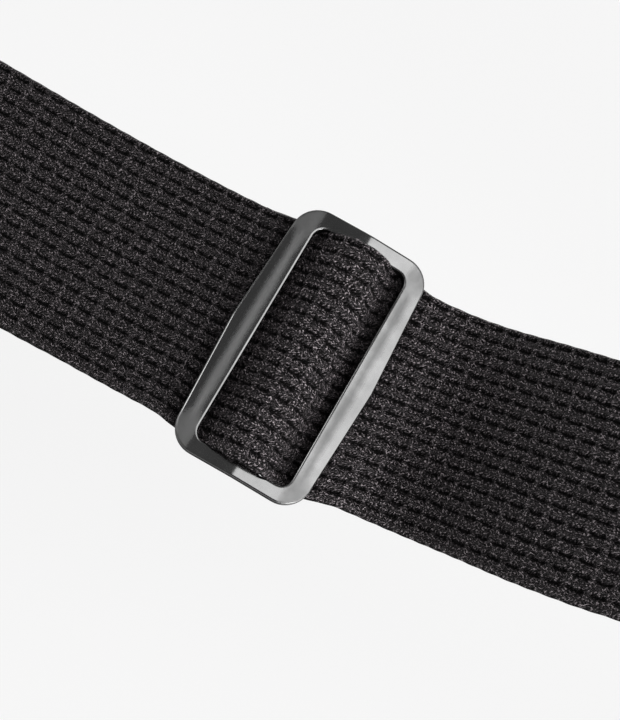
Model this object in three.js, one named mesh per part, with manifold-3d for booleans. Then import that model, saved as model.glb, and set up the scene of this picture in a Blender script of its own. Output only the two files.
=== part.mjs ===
// Adjustable guitar strap: black webbing, a flat three-bar slider, a wire ring and two leather end tabs.
// Millimetres. X runs along the strap towards the head tab, Y across it, +Z up.
// The origin is on the surface that the strap lies on, under the middle of the slider.
import * as THREE from "three";
import { mergeVertices } from "three/addons/utils/BufferGeometryUtils.js";
import Module from "manifold-3d";

const wasm = await Module();
wasm.setup();

// ---- Driving dimensions ----

const HALF_LENGTH = 570; // slider to either end of the strap, as adjusted here
const GAP = 0.3; // clearance between neighbouring pieces

const WEBBING_WIDTH = 50;
const WEBBING_THICKNESS = 1.8;
const LAYER = WEBBING_THICKNESS + GAP; // from one layer of webbing to the next
const LOWER_LAYER_Z = WEBBING_THICKNESS / 2; // middle of webbing that lies on the surface
const UPPER_LAYER_Z = LOWER_LAYER_Z + LAYER; // middle of the layer on top of it

const SLIDER_Z = 13; // middle of the slider above the surface
const SLIDER_LENGTH = 58.6; // across the strap
const SLIDER_WAIST = 33.1; // along the strap, at mid-length
const SLIDER_END = 30.8; // along the strap, near the corners
const SLIDER_THICKNESS = 2.6;
const SLIDER_CORNER = 5.9;
const SLIDER_DROOP = THREE.MathUtils.degToRad(4); // each half slopes down from the centre bar
const SLIDER_EDGE = 0.5; // bevel along every edge
const RIDGE_OVERLAP = 0.2; // how far each half of the slider reaches past the centre line
const SLOT_OUTER_X = 11.05; // centre line to the far side of a slot
const SLOT_HALF_LENGTH = 26.3;
const SLOT_CORNER = 2.9;
const CENTRE_BAR = 3.4; // width of the bar between the slots
const CENTRE_BAR_THICKNESS = 2.4;
const CENTRE_BAR_ROUND = 0.9;

const STRAIGHT_TOLERANCE = 0.004; // a point this close to a straight line is left out

const SPLIT_TAIL_X = -100; // webbing left of here belongs to the fold at the ring
const SPLIT_HEAD_X = 225; // webbing right of here belongs to the head side
const FLAP_END_X = -23; // cut end of the webbing that is sewn round the centre bar
const FLAP_SHIFT_Y = 0.8; // the sewn flap sits a little to one side

const RING_WIRE = 3.6;
const RING_OPENING_X = 14;
const RING_OPENING_Y = 52.3;
const RING_CORNER = 2;
const RING_ROUNDING = 0.42; // edge radius as a share of the wire, half would be a full circle
const RING_Z = 4.25;
const FOLD_RADIUS = RING_WIRE / 2 + GAP + WEBBING_THICKNESS / 2; // webbing's middle round the wire

const TAB_LENGTH = 95;
const TAB_WIDTH = 53;
const TAB_NOSE_RADIUS = 17;
const TAB_OVERLAP = 35; // how far the webbing reaches in between the plies
const PLY_THICKNESS = 2;
const PLY_STEP = 14; // length over which the front ply comes down past the webbing's end
const BUTTON_HOLE_RADIUS = 3.5;
const BUTTON_SLIT_LENGTH = 13;
const BUTTON_SLIT_WIDTH = 1.4;
const BUTTON_HOLE_FROM_NOSE = 19;

const THREAD_HEIGHT = 0.35;
const THREAD_WIDTH = 0.9;
const THREAD_BELOW_FACE = 0.05; // the thread lies just inside its groove
const GROOVE_DEPTH = 0.55;
const SEAM_INSET = 3.5;
const BAR_TACK_X = [-21.6, -18.4];
const BAR_TACK_WIDTH = 42;

// ---- Places that follow from them ----

const TAB_EDGE_X = HALF_LENGTH - TAB_LENGTH; // where the plies start, on both sides
const TAIL_BAR_X = -TAB_EDGE_X + 14; // ring's outer bar
const FOLD_BAR_X = TAIL_BAR_X + RING_OPENING_X + RING_WIRE; // ring's inner bar
const BACK_PLY_Z = PLY_THICKNESS / 2;
const FIRST_LAYER_IN_TAB_Z = PLY_THICKNESS + GAP + WEBBING_THICKNESS / 2;
const CLOSED_PLY_Z = BACK_PLY_Z + PLY_THICKNESS + GAP; // front ply where it meets the back ply

// ---- Materials ----

const webbingCloth = new THREE.MeshStandardMaterial({ color: 0x1d1b1c, roughness: 0.9 });
const blackMetal = new THREE.MeshStandardMaterial({ color: 0x3a3a3c, roughness: 0.35, metalness: 0.8 });
const blackLeather = new THREE.MeshStandardMaterial({ color: 0x1a1816, roughness: 0.6 });
const blackThread = new THREE.MeshStandardMaterial({ color: 0x232122, roughness: 0.7 });

// ---- Tools for flat strips ----

// A smooth line through the points, given as [x, z] pairs, as closely spaced points.
function smooth(points, steps) {
  const curve = new THREE.SplineCurve(points.map(([x, z]) => new THREE.Vector2(x, z)));
  return withoutStraightPoints(curve.getPoints(steps));
}

// The same line without the points that lie on a straight stretch.
function withoutStraightPoints(line) {
  const kept = [line[0]];
  for (let i = 1; i < line.length - 1; i += 1) {
    const from = kept[kept.length - 1];
    const ahead = line[i + 1].clone().sub(from);
    const aside = Math.abs(ahead.cross(line[i].clone().sub(from))) / ahead.length();
    if (aside > STRAIGHT_TOLERANCE) {
      kept.push(line[i]);
    }
  }
  return [...kept, line[line.length - 1]];
}

// The line moved sideways by a distance, to the left of its direction of travel.
function offset(line, distance) {
  return line.map((point, i) => {
    const before = line[Math.max(i - 1, 0)];
    const after = line[Math.min(i + 1, line.length - 1)];
    const along = after.clone().sub(before).normalize();
    return new THREE.Vector2(point.x - along.y * distance, point.y + along.x * distance);
  });
}

// Points on an arc, from one angle to another, in degrees.
function arc(x, z, radius, from, to, steps) {
  return Array.from({ length: steps + 1 }, (_, i) => {
    const angle = THREE.MathUtils.degToRad(from + ((to - from) * i) / steps);
    return new THREE.Vector2(x + radius * Math.cos(angle), z + radius * Math.sin(angle));
  });
}

// A strip of even thickness that follows the line in XZ and is extruded across Y.
function strip(line, thickness, width) {
  const above = offset(line, thickness / 2);
  const below = offset(line, -thickness / 2).reverse();
  const shape = new THREE.Shape([...above, ...below]);
  const geometry = new THREE.ExtrudeGeometry(shape, { depth: width, bevelEnabled: false });
  geometry.rotateX(Math.PI / 2);
  geometry.translate(0, width / 2, 0);
  return geometry;
}

// Shifts every point of a geometry in Y by a function of its x.
function shiftAcross(geometry, shift) {
  const position = geometry.getAttribute("position");
  for (let i = 0; i < position.count; i += 1) {
    position.setY(i, position.getY(i) + shift(position.getX(i)));
  }
  return geometry;
}

// The second value of the pairs in a table, read at x along straight lines from pair to pair.
function readTable(table, x) {
  const after = table.findIndex(([place]) => place >= x);
  if (after <= 0) {
    return after === 0 ? table[0][1] : table[table.length - 1][1];
  }
  const [[x0, y0], [x1, y1]] = table.slice(after - 1, after + 1);
  return THREE.MathUtils.mapLinear(x, x0, x1, y0, y1);
}

function between(line, low, high) {
  return line.filter((point) => point.x > low && point.x < high);
}

function smoothstep(x, low, high) {
  return THREE.MathUtils.smoothstep(x, low, high);
}

// ---- Booleans ----

function solid(geometry) {
  const bare = geometry.clone();
  bare.deleteAttribute("normal");
  bare.deleteAttribute("uv");
  const merged = mergeVertices(bare, 1e-4);
  const triangles = merged.index.array;
  return new wasm.Manifold(
    new wasm.Mesh({
      numProp: 3,
      vertProperties: new Float32Array(merged.getAttribute("position").array),
      triVerts: new Uint32Array(triangles),
    }),
  );
}

function geometryOf(manifold) {
  const mesh = manifold.getMesh();
  const geometry = new THREE.BufferGeometry();
  geometry.setAttribute("position", new THREE.BufferAttribute(new Float32Array(mesh.vertProperties), 3));
  geometry.setIndex(new THREE.BufferAttribute(new Uint32Array(mesh.triVerts), 1));
  return geometry;
}

// ---- Webbing routes, as lines in XZ ----

// Heights of the long run round the slider, measured from the slider's middle.
const RUN_NEAR_SLIDER = [
  [-86, UPPER_LAYER_Z - SLIDER_Z],
  [-70, -9.95],
  [-55, -9.4],
  [-42, -8.3],
  [-30, -6.6],
  [-22, -4.8],
  [-16.5, -3.9],
  [-12.2, -3.8],
  [-9, -2.2],
  [-5.6, 1.8],
  [-2.7, 4.2],
  [0.3, 4.85],
  [3.4, 4.2],
  [5.6, 2.3],
  [6.7, -0.6],
  [8.4, -3],
  [12.1, -3.9],
  [16.5, -4.5],
  [22, -5.2],
  [28, -5],
  [36, -0.8],
  [46, 8.8],
  [56, 17.6],
  [68, 24.6],
  [82, 28.9],
  [98, 30.2],
  [114, 28.9],
  [132, 23.6],
  [150, 15.2],
  [168, 5.6],
  [184, -2.9],
  [198, -8.6],
  [210, -11.5],
];

// How far the long run strays towards +Y along its length, as [x, y] pairs.
const STRAY = [
  [6.5, 0],
  [8.5, 0.6],
  [12, 1],
  [16.5, 1.4],
  [22, 2.3],
  [28, 3],
  [36, 3.3],
  [46, 3.1],
  [56, 3.2],
  [68, 3.7],
  [82, 4.1],
  [98, 4.3],
  [120, 4],
  [150, 3],
  [190, 1],
  [225, 0],
];

// Where the returning webbing leaves the flap and climbs to the centre bar, from the same height.
const RISE_TO_BAR = [
  [-10.6, -7.8],
  [-7.2, -6.7],
  [-4.2, -4.4],
];

function longRun() {
  const points = [
    [SPLIT_TAIL_X + GAP / 2, UPPER_LAYER_Z],
    ...RUN_NEAR_SLIDER.map(([x, z]) => [x, z + SLIDER_Z]),
    [SPLIT_HEAD_X - GAP / 2, LOWER_LAYER_Z],
  ];
  return smooth(points, 150);
}

// The end of the webbing comes back under the long run, goes round the centre bar and is sewn to itself.
function returnEnd(run) {
  const lowerRun = between(run, SPLIT_TAIL_X, -13.5).map((point, i, line) => {
    const spread = LAYER * (1 + smoothstep(point.x, -34, -25));
    return offset(line, -spread)[i];
  });
  const barHalf = CENTRE_BAR / 2;
  const reach = GAP + WEBBING_THICKNESS / 2;
  const barBottom = [-barHalf, -SLIDER_THICKNESS / 2 - reach];
  const under = [...RISE_TO_BAR, barBottom].map(([x, z]) => new THREE.Vector2(x, z + SLIDER_Z));
  const round = arc(barHalf - 0.6, SLIDER_Z, SLIDER_THICKNESS / 2 + reach, -90, 90, 10);
  const flap = offset(between(run, FLAP_END_X, -0.6), -LAYER).reverse();
  return [...lowerRun, ...under, ...round, ...flap];
}

// Down the upper layer to the ring, round its inner bar and back along the surface.
function ringFold() {
  const start = SPLIT_TAIL_X - GAP / 2;
  const upper = [
    [start, UPPER_LAYER_Z],
    [FOLD_BAR_X + 24, UPPER_LAYER_Z],
    [FOLD_BAR_X + 16, UPPER_LAYER_Z + 0.7],
    [FOLD_BAR_X + 7, RING_Z + 2.2],
  ].map(([x, z]) => new THREE.Vector2(x, z));
  const lower = [
    [FOLD_BAR_X + 7, LOWER_LAYER_Z + 0.25],
    [FOLD_BAR_X + 13, LOWER_LAYER_Z],
    [start, LOWER_LAYER_Z],
  ].map(([x, z]) => new THREE.Vector2(x, z));
  return [...upper, ...arc(FOLD_BAR_X, RING_Z, FOLD_RADIUS, 80, 280, 14), ...lower];
}

function headRun() {
  return smooth(
    [
      [SPLIT_HEAD_X + GAP / 2, LOWER_LAYER_Z],
      [SPLIT_HEAD_X + 70, LOWER_LAYER_Z],
      [TAB_EDGE_X - 40, LOWER_LAYER_Z],
      [TAB_EDGE_X - 24, LOWER_LAYER_Z + 0.1],
      [TAB_EDGE_X - 12, LOWER_LAYER_Z + 1.4],
      [TAB_EDGE_X - 2, FIRST_LAYER_IN_TAB_Z - 0.05],
      [TAB_EDGE_X + 6, FIRST_LAYER_IN_TAB_Z],
      [TAB_EDGE_X + TAB_OVERLAP, FIRST_LAYER_IN_TAB_Z],
    ],
    40,
  );
}

// Both ends of the short loop lie between the tail tab's plies.
function tailLoop() {
  const inTab = -TAB_EDGE_X - TAB_OVERLAP;
  const secondLayerZ = FIRST_LAYER_IN_TAB_Z + LAYER;
  const upper = [
    [inTab, secondLayerZ],
    [-TAB_EDGE_X - 1, secondLayerZ],
    [TAIL_BAR_X - 7.5, RING_Z + 2.25],
  ].map(([x, z]) => new THREE.Vector2(x, z));
  const lower = [
    [TAIL_BAR_X - 7.5, RING_Z - 2.25],
    [-TAB_EDGE_X - 1, FIRST_LAYER_IN_TAB_Z],
    [inTab, FIRST_LAYER_IN_TAB_Z],
  ].map(([x, z]) => new THREE.Vector2(x, z));
  return [...upper, ...arc(TAIL_BAR_X, RING_Z, FOLD_RADIUS, 105, -105, 14), ...lower];
}

// ---- Slider and ring ----

// A rectangle with round corners, centred on the origin.
function roundedBox(halfX, halfY, corner, Outline) {
  const outline = new Outline();
  outline.absarc(halfX - corner, halfY - corner, corner, 0, Math.PI / 2, false);
  outline.absarc(corner - halfX, halfY - corner, corner, Math.PI / 2, Math.PI, false);
  outline.absarc(corner - halfX, corner - halfY, corner, Math.PI, 1.5 * Math.PI, false);
  outline.absarc(halfX - corner, corner - halfY, corner, 1.5 * Math.PI, 2 * Math.PI, false);
  outline.closePath();
  return outline;
}

function sliderPlate() {
  const waist = SLIDER_WAIST / 2;
  const end = SLIDER_END / 2;
  const half = SLIDER_LENGTH / 2;
  const corner = SLIDER_CORNER;
  const shape = new THREE.Shape();
  shape.moveTo(waist, 0);
  shape.lineTo(end, half - corner);
  shape.absarc(end - corner, half - corner, corner, 0, Math.PI / 2, false);
  shape.absarc(corner - end, half - corner, corner, Math.PI / 2, Math.PI, false);
  shape.lineTo(-waist, 0);
  shape.absarc(corner - end, corner - half, corner, Math.PI, 1.5 * Math.PI, false);
  shape.absarc(end - corner, corner - half, corner, 1.5 * Math.PI, 2 * Math.PI, false);
  shape.closePath();
  shape.holes.push(roundedBox(SLOT_OUTER_X, SLOT_HALF_LENGTH, SLOT_CORNER, THREE.Path));
  const geometry = new THREE.ExtrudeGeometry(shape, {
    depth: SLIDER_THICKNESS - 2 * SLIDER_EDGE,
    bevelThickness: SLIDER_EDGE,
    bevelSize: SLIDER_EDGE,
    bevelOffset: -SLIDER_EDGE,
    bevelSegments: 2,
    curveSegments: 8,
  });
  geometry.translate(0, 0, SLIDER_EDGE - SLIDER_THICKNESS / 2);
  return geometry;
}

// The bar that divides the window into two slots, with its ends let into the frame.
function centreBar() {
  const bar = roundedBox(CENTRE_BAR / 2, CENTRE_BAR_THICKNESS / 2, CENTRE_BAR_ROUND, THREE.Shape);
  const length = 2 * SLOT_HALF_LENGTH + 3 * SLIDER_EDGE;
  const geometry = new THREE.ExtrudeGeometry(bar, { depth: length, bevelEnabled: false, curveSegments: 3 });
  return geometry.rotateX(Math.PI / 2).translate(0, length / 2, 0);
}

// The flat plate cut in two just past its middle, with each half sloped down from the centre line.
function sliderGeometry() {
  const flat = solid(sliderPlate()).add(solid(centreBar()));
  const halves = [1, -1].map((side) => {
    const keep = new THREE.BoxGeometry(SLIDER_WAIST, 2 * SLIDER_LENGTH, 6 * SLIDER_THICKNESS);
    keep.translate(side * (SLIDER_WAIST / 2 - RIDGE_OVERLAP), 0, 0);
    const half = geometryOf(flat.intersect(solid(keep)));
    const position = half.getAttribute("position");
    for (let i = 0; i < position.count; i += 1) {
      position.setZ(i, position.getZ(i) - side * position.getX(i) * Math.tan(SLIDER_DROOP));
    }
    return solid(half);
  });
  return geometryOf(halves[0].add(halves[1])).translate(0, 0, SLIDER_Z);
}

function ringGeometry() {
  const insideX = RING_OPENING_X / 2;
  const insideY = RING_OPENING_Y / 2;
  const bevel = RING_WIRE * RING_ROUNDING;
  const outside = RING_CORNER + RING_WIRE;
  const shape = roundedBox(insideX + RING_WIRE, insideY + RING_WIRE, outside, THREE.Shape);
  shape.holes.push(roundedBox(insideX, insideY, RING_CORNER, THREE.Path));
  const geometry = new THREE.ExtrudeGeometry(shape, {
    depth: RING_WIRE - 2 * bevel,
    bevelThickness: bevel,
    bevelSize: bevel,
    bevelOffset: -bevel,
    bevelSegments: 2,
    curveSegments: 5,
  });
  return geometry.translate((TAIL_BAR_X + FOLD_BAR_X) / 2, 0, RING_Z - RING_WIRE / 2 + bevel);
}

// ---- Leather tabs, drawn with x = 0 at the webbing side and the nose at x = TAB_LENGTH ----

function tabOutline(inset, Outline) {
  const wide = TAB_WIDTH / 2 - inset;
  const nose = TAB_NOSE_RADIUS - inset;
  const noseX = TAB_LENGTH - TAB_NOSE_RADIUS;
  const outline = new Outline();
  outline.moveTo(inset, -wide);
  outline.lineTo(TAB_OVERLAP, -wide);
  outline.bezierCurveTo(TAB_OVERLAP + 16, -wide, noseX - 20, -nose, noseX, -nose);
  outline.absarc(noseX, 0, nose, -Math.PI / 2, Math.PI / 2, false);
  outline.bezierCurveTo(noseX - 20, nose, TAB_OVERLAP + 16, wide, TAB_OVERLAP, wide);
  outline.lineTo(inset, wide);
  outline.closePath();
  return outline;
}

function buttonHole() {
  const x = TAB_LENGTH - BUTTON_HOLE_FROM_NOSE;
  const slit = BUTTON_SLIT_WIDTH / 2;
  const opening = Math.asin(slit / BUTTON_HOLE_RADIUS);
  const slitEnd = x - BUTTON_HOLE_RADIUS - BUTTON_SLIT_LENGTH;
  const hole = new THREE.Path();
  hole.absarc(x, 0, BUTTON_HOLE_RADIUS, Math.PI + opening, 3 * Math.PI - opening, false);
  hole.lineTo(slitEnd, slit);
  hole.lineTo(slitEnd, -slit);
  hole.closePath();
  return hole;
}

// The middle line of a layer that starts at one height and comes down past the webbing's end.
function stepLine(highZ, lowZ) {
  const first = TAB_OVERLAP + 2;
  const steps = 8;
  const ramp = Array.from({ length: steps + 1 }, (_, i) => {
    const x = first + (PLY_STEP * i) / steps;
    return new THREE.Vector2(x, highZ + (lowZ - highZ) * smoothstep(x, first, first + PLY_STEP));
  });
  const line = [new THREE.Vector2(-1, highZ), ...ramp, new THREE.Vector2(TAB_LENGTH + 1, lowZ)];
  return withoutStraightPoints(line);
}

function prism(shape) {
  const depth = 20;
  return new THREE.ExtrudeGeometry(shape, { depth, bevelEnabled: false, curveSegments: 14 });
}

// The part of a layer that lies in a closed band inside the tab's edge.
function seamBand(line, height, inset, width) {
  const shape = tabOutline(inset, THREE.Shape);
  shape.holes.push(tabOutline(inset + width, THREE.Path));
  return solid(strip(line, height, TAB_WIDTH + 4)).intersect(solid(prism(shape)));
}

// One ply of leather, with a stitching groove in its outer face: side is 1 for the top and -1 for the bottom.
function ply(line, side) {
  const shape = tabOutline(0, THREE.Shape);
  shape.holes.push(buttonHole());
  const leather = solid(strip(line, PLY_THICKNESS, TAB_WIDTH + 4)).intersect(solid(prism(shape)));
  const face = offset(line, (side * PLY_THICKNESS) / 2);
  const groove = seamBand(face, 2 * GROOVE_DEPTH, SEAM_INSET - GAP, THREAD_WIDTH + 2 * GAP);
  return geometryOf(leather.subtract(groove));
}

// The thread of the seam round a tab, in the groove of one ply.
function seamThread(line, side) {
  const inPly = PLY_THICKNESS / 2 - THREAD_BELOW_FACE - THREAD_HEIGHT / 2;
  return geometryOf(seamBand(offset(line, side * inPly), THREAD_HEIGHT, SEAM_INSET, THREAD_WIDTH));
}

// ---- Assembly ----

const strap = new THREE.Group();

function add(parent, name, geometry, material) {
  const mesh = new THREE.Mesh(geometry, material);
  mesh.name = name;
  parent.add(mesh);
}

// A tab's two plies and the threads on both its faces, round a stack of webbing layers.
function addTab(name, layers) {
  const tab = new THREE.Group();
  const openPlyZ = BACK_PLY_Z + PLY_THICKNESS + GAP + layers * LAYER;
  const back = stepLine(BACK_PLY_Z, BACK_PLY_Z);
  const front = stepLine(openPlyZ, CLOSED_PLY_Z);
  add(tab, `${name}_back`, ply(back, -1), blackLeather);
  add(tab, `${name}_front`, ply(front, 1), blackLeather);
  add(tab, `${name}_back_thread`, seamThread(back, -1), blackThread);
  add(tab, `${name}_front_thread`, seamThread(front, 1), blackThread);
  strap.add(tab);
  return tab;
}

const run = longRun();
const stray = (x) => readTable(STRAY, x);
const flapShift = (x) => FLAP_SHIFT_Y * smoothstep(x, -60, -25);
const barTack = offset(between(run, ...BAR_TACK_X), -(2.5 * LAYER - GAP / 2 + THREAD_HEIGHT / 2));

const arch = strip(run, WEBBING_THICKNESS, WEBBING_WIDTH);
const loop = strip(returnEnd(run), WEBBING_THICKNESS, WEBBING_WIDTH);

add(strap, "slider", sliderGeometry(), blackMetal);
add(strap, "webbing_through_slider", shiftAcross(arch, stray), webbingCloth);
add(strap, "webbing_end_round_centre_bar", shiftAcross(loop, flapShift), webbingCloth);
add(strap, "bar_tack_thread", strip(barTack, THREAD_HEIGHT, BAR_TACK_WIDTH), blackThread);
add(strap, "webbing_to_head_tab", strip(headRun(), WEBBING_THICKNESS, WEBBING_WIDTH), webbingCloth);
add(strap, "webbing_fold_at_ring", strip(ringFold(), WEBBING_THICKNESS, WEBBING_WIDTH), webbingCloth);
add(strap, "ring", ringGeometry(), blackMetal);
add(strap, "tail_loop", strip(tailLoop(), WEBBING_THICKNESS, WEBBING_WIDTH), webbingCloth);

addTab("head_tab", 1).position.x = TAB_EDGE_X;
const tailTab = addTab("tail_tab", 2);
tailTab.rotation.z = Math.PI;
tailTab.position.x = -TAB_EDGE_X;

export default strap;
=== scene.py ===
import math

import bmesh
import bpy
import numpy as np
from mathutils import Matrix, Vector, geometry


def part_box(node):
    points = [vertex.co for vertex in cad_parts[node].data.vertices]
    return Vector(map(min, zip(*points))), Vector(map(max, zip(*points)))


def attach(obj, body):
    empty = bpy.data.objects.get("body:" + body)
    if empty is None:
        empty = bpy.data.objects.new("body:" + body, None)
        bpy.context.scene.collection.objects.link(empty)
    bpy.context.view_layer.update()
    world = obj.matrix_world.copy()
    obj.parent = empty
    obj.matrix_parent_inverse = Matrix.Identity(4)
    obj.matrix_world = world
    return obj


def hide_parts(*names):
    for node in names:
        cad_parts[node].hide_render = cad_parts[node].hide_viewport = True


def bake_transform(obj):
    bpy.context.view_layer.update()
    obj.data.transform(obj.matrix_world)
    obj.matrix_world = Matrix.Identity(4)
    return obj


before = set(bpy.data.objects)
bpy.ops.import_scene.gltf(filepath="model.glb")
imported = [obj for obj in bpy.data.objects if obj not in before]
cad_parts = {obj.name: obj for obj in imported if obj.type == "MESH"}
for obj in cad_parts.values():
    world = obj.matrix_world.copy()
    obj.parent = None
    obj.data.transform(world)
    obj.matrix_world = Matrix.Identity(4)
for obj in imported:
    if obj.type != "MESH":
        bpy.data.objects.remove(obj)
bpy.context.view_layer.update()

MM = 0.001

# ---- Driving dimensions, in metres ----

WIDTH = 50 * MM  # webbing
THICKNESS = 1.8 * MM
RELIEF = 0.56 * MM  # of the weave, on each face
SELVEDGE = 0.9 * MM  # radius of the webbing's rounded edges
WARPS = 35  # yarns across the webbing, in pairs
WARP = WIDTH / WARPS
PICK = 2.2 * MM  # from one crossing yarn to the next
SPREAD = 1.05  # how much wider the webbing lies where it passes through the slider
GAP = 0.3 * MM
LAYER = THICKNESS + GAP
LOWER_Z = THICKNESS / 2
UPPER_Z = LOWER_Z + LAYER

SLIDER_LOW, SLIDER_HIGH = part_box("slider")
SLIDER_Z = 13 * MM
SLIDER_HALF = 29.3 * MM  # half its size across the strap
SLIDER_WAIST = (SLIDER_HIGH.x - SLIDER_LOW.x) / 2  # half its size along the strap, at its middle
SLIDER_END = 15.4 * MM  # and at its ends
SLIDER_THICK = 2.6 * MM
SLIDER_CORNER = 5.9 * MM
DROOP = math.radians(4)  # of each half of the slider, from a ridge over its centre bar
RIDGE_SOFT = 0.55 * MM
EDGE_WIDE = 0.55 * MM  # the rolled edges of the slider's faces
EDGE_DEEP = 0.28 * MM
WINDOW_X = 10.85 * MM  # half sizes of the slider's window
WINDOW_Y = 26.0 * MM
WINDOW_SHIFT = 0.22 * MM  # how far the window stands towards the head tab
WINDOW_LOWER = 0.25 * MM  # how far the window stands towards -Y from the slider's middle
WINDOW_STEP = 0.2 * MM  # the slots' ends stand this far beyond the middle of the window's ends
WINDOW_CORNER = 2.7 * MM
BAR_WIDE = 3.4 * MM
BAR_THICK = 2.4 * MM
BAR_DROP = 0.06 * MM
STREAK_X = 12.9 * MM  # middle of the rubbed streak along each long bar
STREAK_WIDE = 1.8 * MM

NEAR_TAIL_X = -100 * MM  # webbing between these two rides on the slider
NEAR_HEAD_X = 100 * MM
FLAP_END_X = -23 * MM  # cut edge of the webbing's sewn end
FLAP_SHIFT = 0.8 * MM  # how far that end lies to one side

RING_WIRE = 3.6 * MM
RING_CORNER = 2 * MM
RING_LOW, RING_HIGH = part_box("ring")
RING_Z = (RING_LOW.z + RING_HIGH.z) / 2
TAIL_BAR_X = RING_LOW.x + RING_WIRE / 2
FOLD_BAR_X = RING_HIGH.x - RING_WIRE / 2
FOLD_RADIUS = RING_WIRE / 2 + GAP + THICKNESS / 2

PLY = 2 * MM
TAB_LENGTH = 95 * MM
TAB_WIDTH = 53 * MM
NOSE = 17 * MM
TAB_OVERLAP = 35 * MM
PLY_STEP = 14 * MM  # length over which the front ply comes down past the webbing's end
HEAD_EDGE_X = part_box("head_tab_back")[0].x
TAIL_EDGE_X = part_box("tail_tab_back")[1].x
HOLE_RADIUS = 3.5 * MM
SLIT_LENGTH = 13 * MM
SLIT_WIDTH = 1.4 * MM
HOLE_FROM_NOSE = 19 * MM
SEAM_INSET = 3.95 * MM
STITCH = 3.4 * MM  # from one stitch to the next
STITCH_SHOWS = 0.86 * STITCH
TACK_STITCH = 3.2 * MM
TACK_COUNT = 56
THREAD = 0.32 * MM

# Heights of the long run round the slider, measured from the slider's middle, in millimetres.
RUN_NEAR_SLIDER = [
    (-86, -10.0),
    (-70, -9.95),
    (-55, -9.4),
    (-42, -8.3),
    (-30, -6.6),
    (-22, -4.8),
    (-16.5, -3.9),
    (-12.2, -3.8),
    (-9.0, -2.2),
    (-5.6, 1.8),
    (-2.7, 4.2),
    (0.3, 4.85),
    (3.4, 4.2),
    (5.6, 2.3),
    (6.7, -0.6),
    (8.4, -3.0),
    (12.1, -3.9),
    (16.5, -4.5),
    (22, -5.2),
    (28, -5.0),
    (36, -0.8),
    (46, 8.8),
    (56, 17.6),
    (68, 24.6),
    (82, 28.9),
    (98, 30.2),
    (114, 28.9),
    (132, 23.6),
    (150, 15.2),
    (168, 5.6),
    (184, -2.9),
    (198, -8.6),
    (210, -11.5),
]

# How far the long run strays towards +Y along its length, in millimetres.
STRAY = [
    (6.5, 0),
    (8.5, 0.4),
    (12, 0.7),
    (16.5, 0.95),
    (22, 1.95),
    (28, 2.65),
    (36, 2.95),
    (46, 2.7),
    (56, 2.5),
    (67, 3.3),
    (76, 4.7),
    (86, 5.8),
    (98, 6.2),
    (120, 5.2),
    (150, 3.4),
    (190, 1),
    (225, 0),
]

# How strong the webbing's painted glints are along X, in millimetres: the share of the glinting fibre
# colour, strongest in the slider's window and just past it towards the head, and least where the bars
# cross.
GLINTS_ALONG_X = [
    (-90, 0.3),
    (-20, 0.25),
    (-10.5, 0),
    (-7.5, 0.8),
    (-5, 1),
    (5, 1),
    (7.5, 0.8),
    (10.5, 0),
    (14, 0.3),
    (18, 1),
    (33, 1),
    (42, 0.65),
    (60, 0.5),
    (90, 0.3),
]

random = np.random.RandomState(11)

# ---- Lines in XZ ----


def smoothstep(x, low, high):
    t = np.clip((x - low) / (high - low), 0, 1)
    return t * t * (3 - 2 * t)


def catmull(points):
    """A smooth line through the points, which are rows of x and z."""
    p = np.array(points, float)
    padded = np.vstack([p[:1], p, p[-1:]])
    t = np.linspace(0, 1, 24, endpoint=False)[:, None]
    spans = []
    for a, b, c, d in zip(padded, padded[1:], padded[2:], padded[3:]):
        v, w = (c - a) / 2, (d - b) / 2
        spans.append((2 * b - 2 * c + v + w) * t**3 + (3 * c - 3 * b - 2 * v - w) * t**2 + v * t + b)
    return np.vstack([*spans, p[-1:]])


def arc(x, z, radius, start, end, steps=24):
    angle = np.radians(np.linspace(start, end, steps))
    return np.stack([x + radius * np.cos(angle), z + radius * np.sin(angle)], 1)


def lengths(line):
    return np.concatenate([[0], np.cumsum(np.linalg.norm(np.diff(line, axis=0), axis=1))])


def resample(line, count):
    s = lengths(line)
    even = np.linspace(0, s[-1], count)
    return np.stack([np.interp(even, s, line[:, k]) for k in range(line.shape[1])], 1)


def normals(line):
    along = np.gradient(line, axis=0)
    along /= np.linalg.norm(along, axis=1)[:, None]
    return np.stack([-along[:, 1], along[:, 0]], 1)


def offset(line, distance):
    return line + normals(line) * np.reshape(distance, (-1, 1))


def relaxed(line, reach):
    """The same line, evenly spaced, with its bends eased over a short reach and its ends kept."""
    total = lengths(line)[-1]
    step = 0.25 * MM
    even = resample(line, int(total / step) + 1)
    half = int(3 * reach / step)
    weight = np.exp(-0.5 * (np.arange(-half, half + 1) * step / reach) ** 2)
    weight /= weight.sum()
    before = 2 * even[0] - even[1 : half + 1][::-1]
    after = 2 * even[-1] - even[-half - 1 : -1][::-1]
    long = np.vstack([before, even, after])
    return np.stack([np.convolve(long[:, k], weight, "valid") for k in range(2)], 1)


def long_run():
    points = [(NEAR_TAIL_X, UPPER_Z), *[(x * MM, SLIDER_Z + z * MM) for x, z in RUN_NEAR_SLIDER]]
    points += [(225 * MM, LOWER_Z), (295 * MM, LOWER_Z), (HEAD_EDGE_X - 40 * MM, LOWER_Z)]
    in_tab = PLY + GAP + THICKNESS / 2
    points += [
        (HEAD_EDGE_X - 24 * MM, LOWER_Z + 0.1 * MM),
        (HEAD_EDGE_X - 12 * MM, LOWER_Z + 1.2 * MM),
        (HEAD_EDGE_X - 2 * MM, in_tab - 0.05 * MM),
        (HEAD_EDGE_X + 6 * MM, in_tab),
        (HEAD_EDGE_X + TAB_OVERLAP, in_tab),
    ]
    return relaxed(catmull(points), 0.8 * MM)


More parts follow.
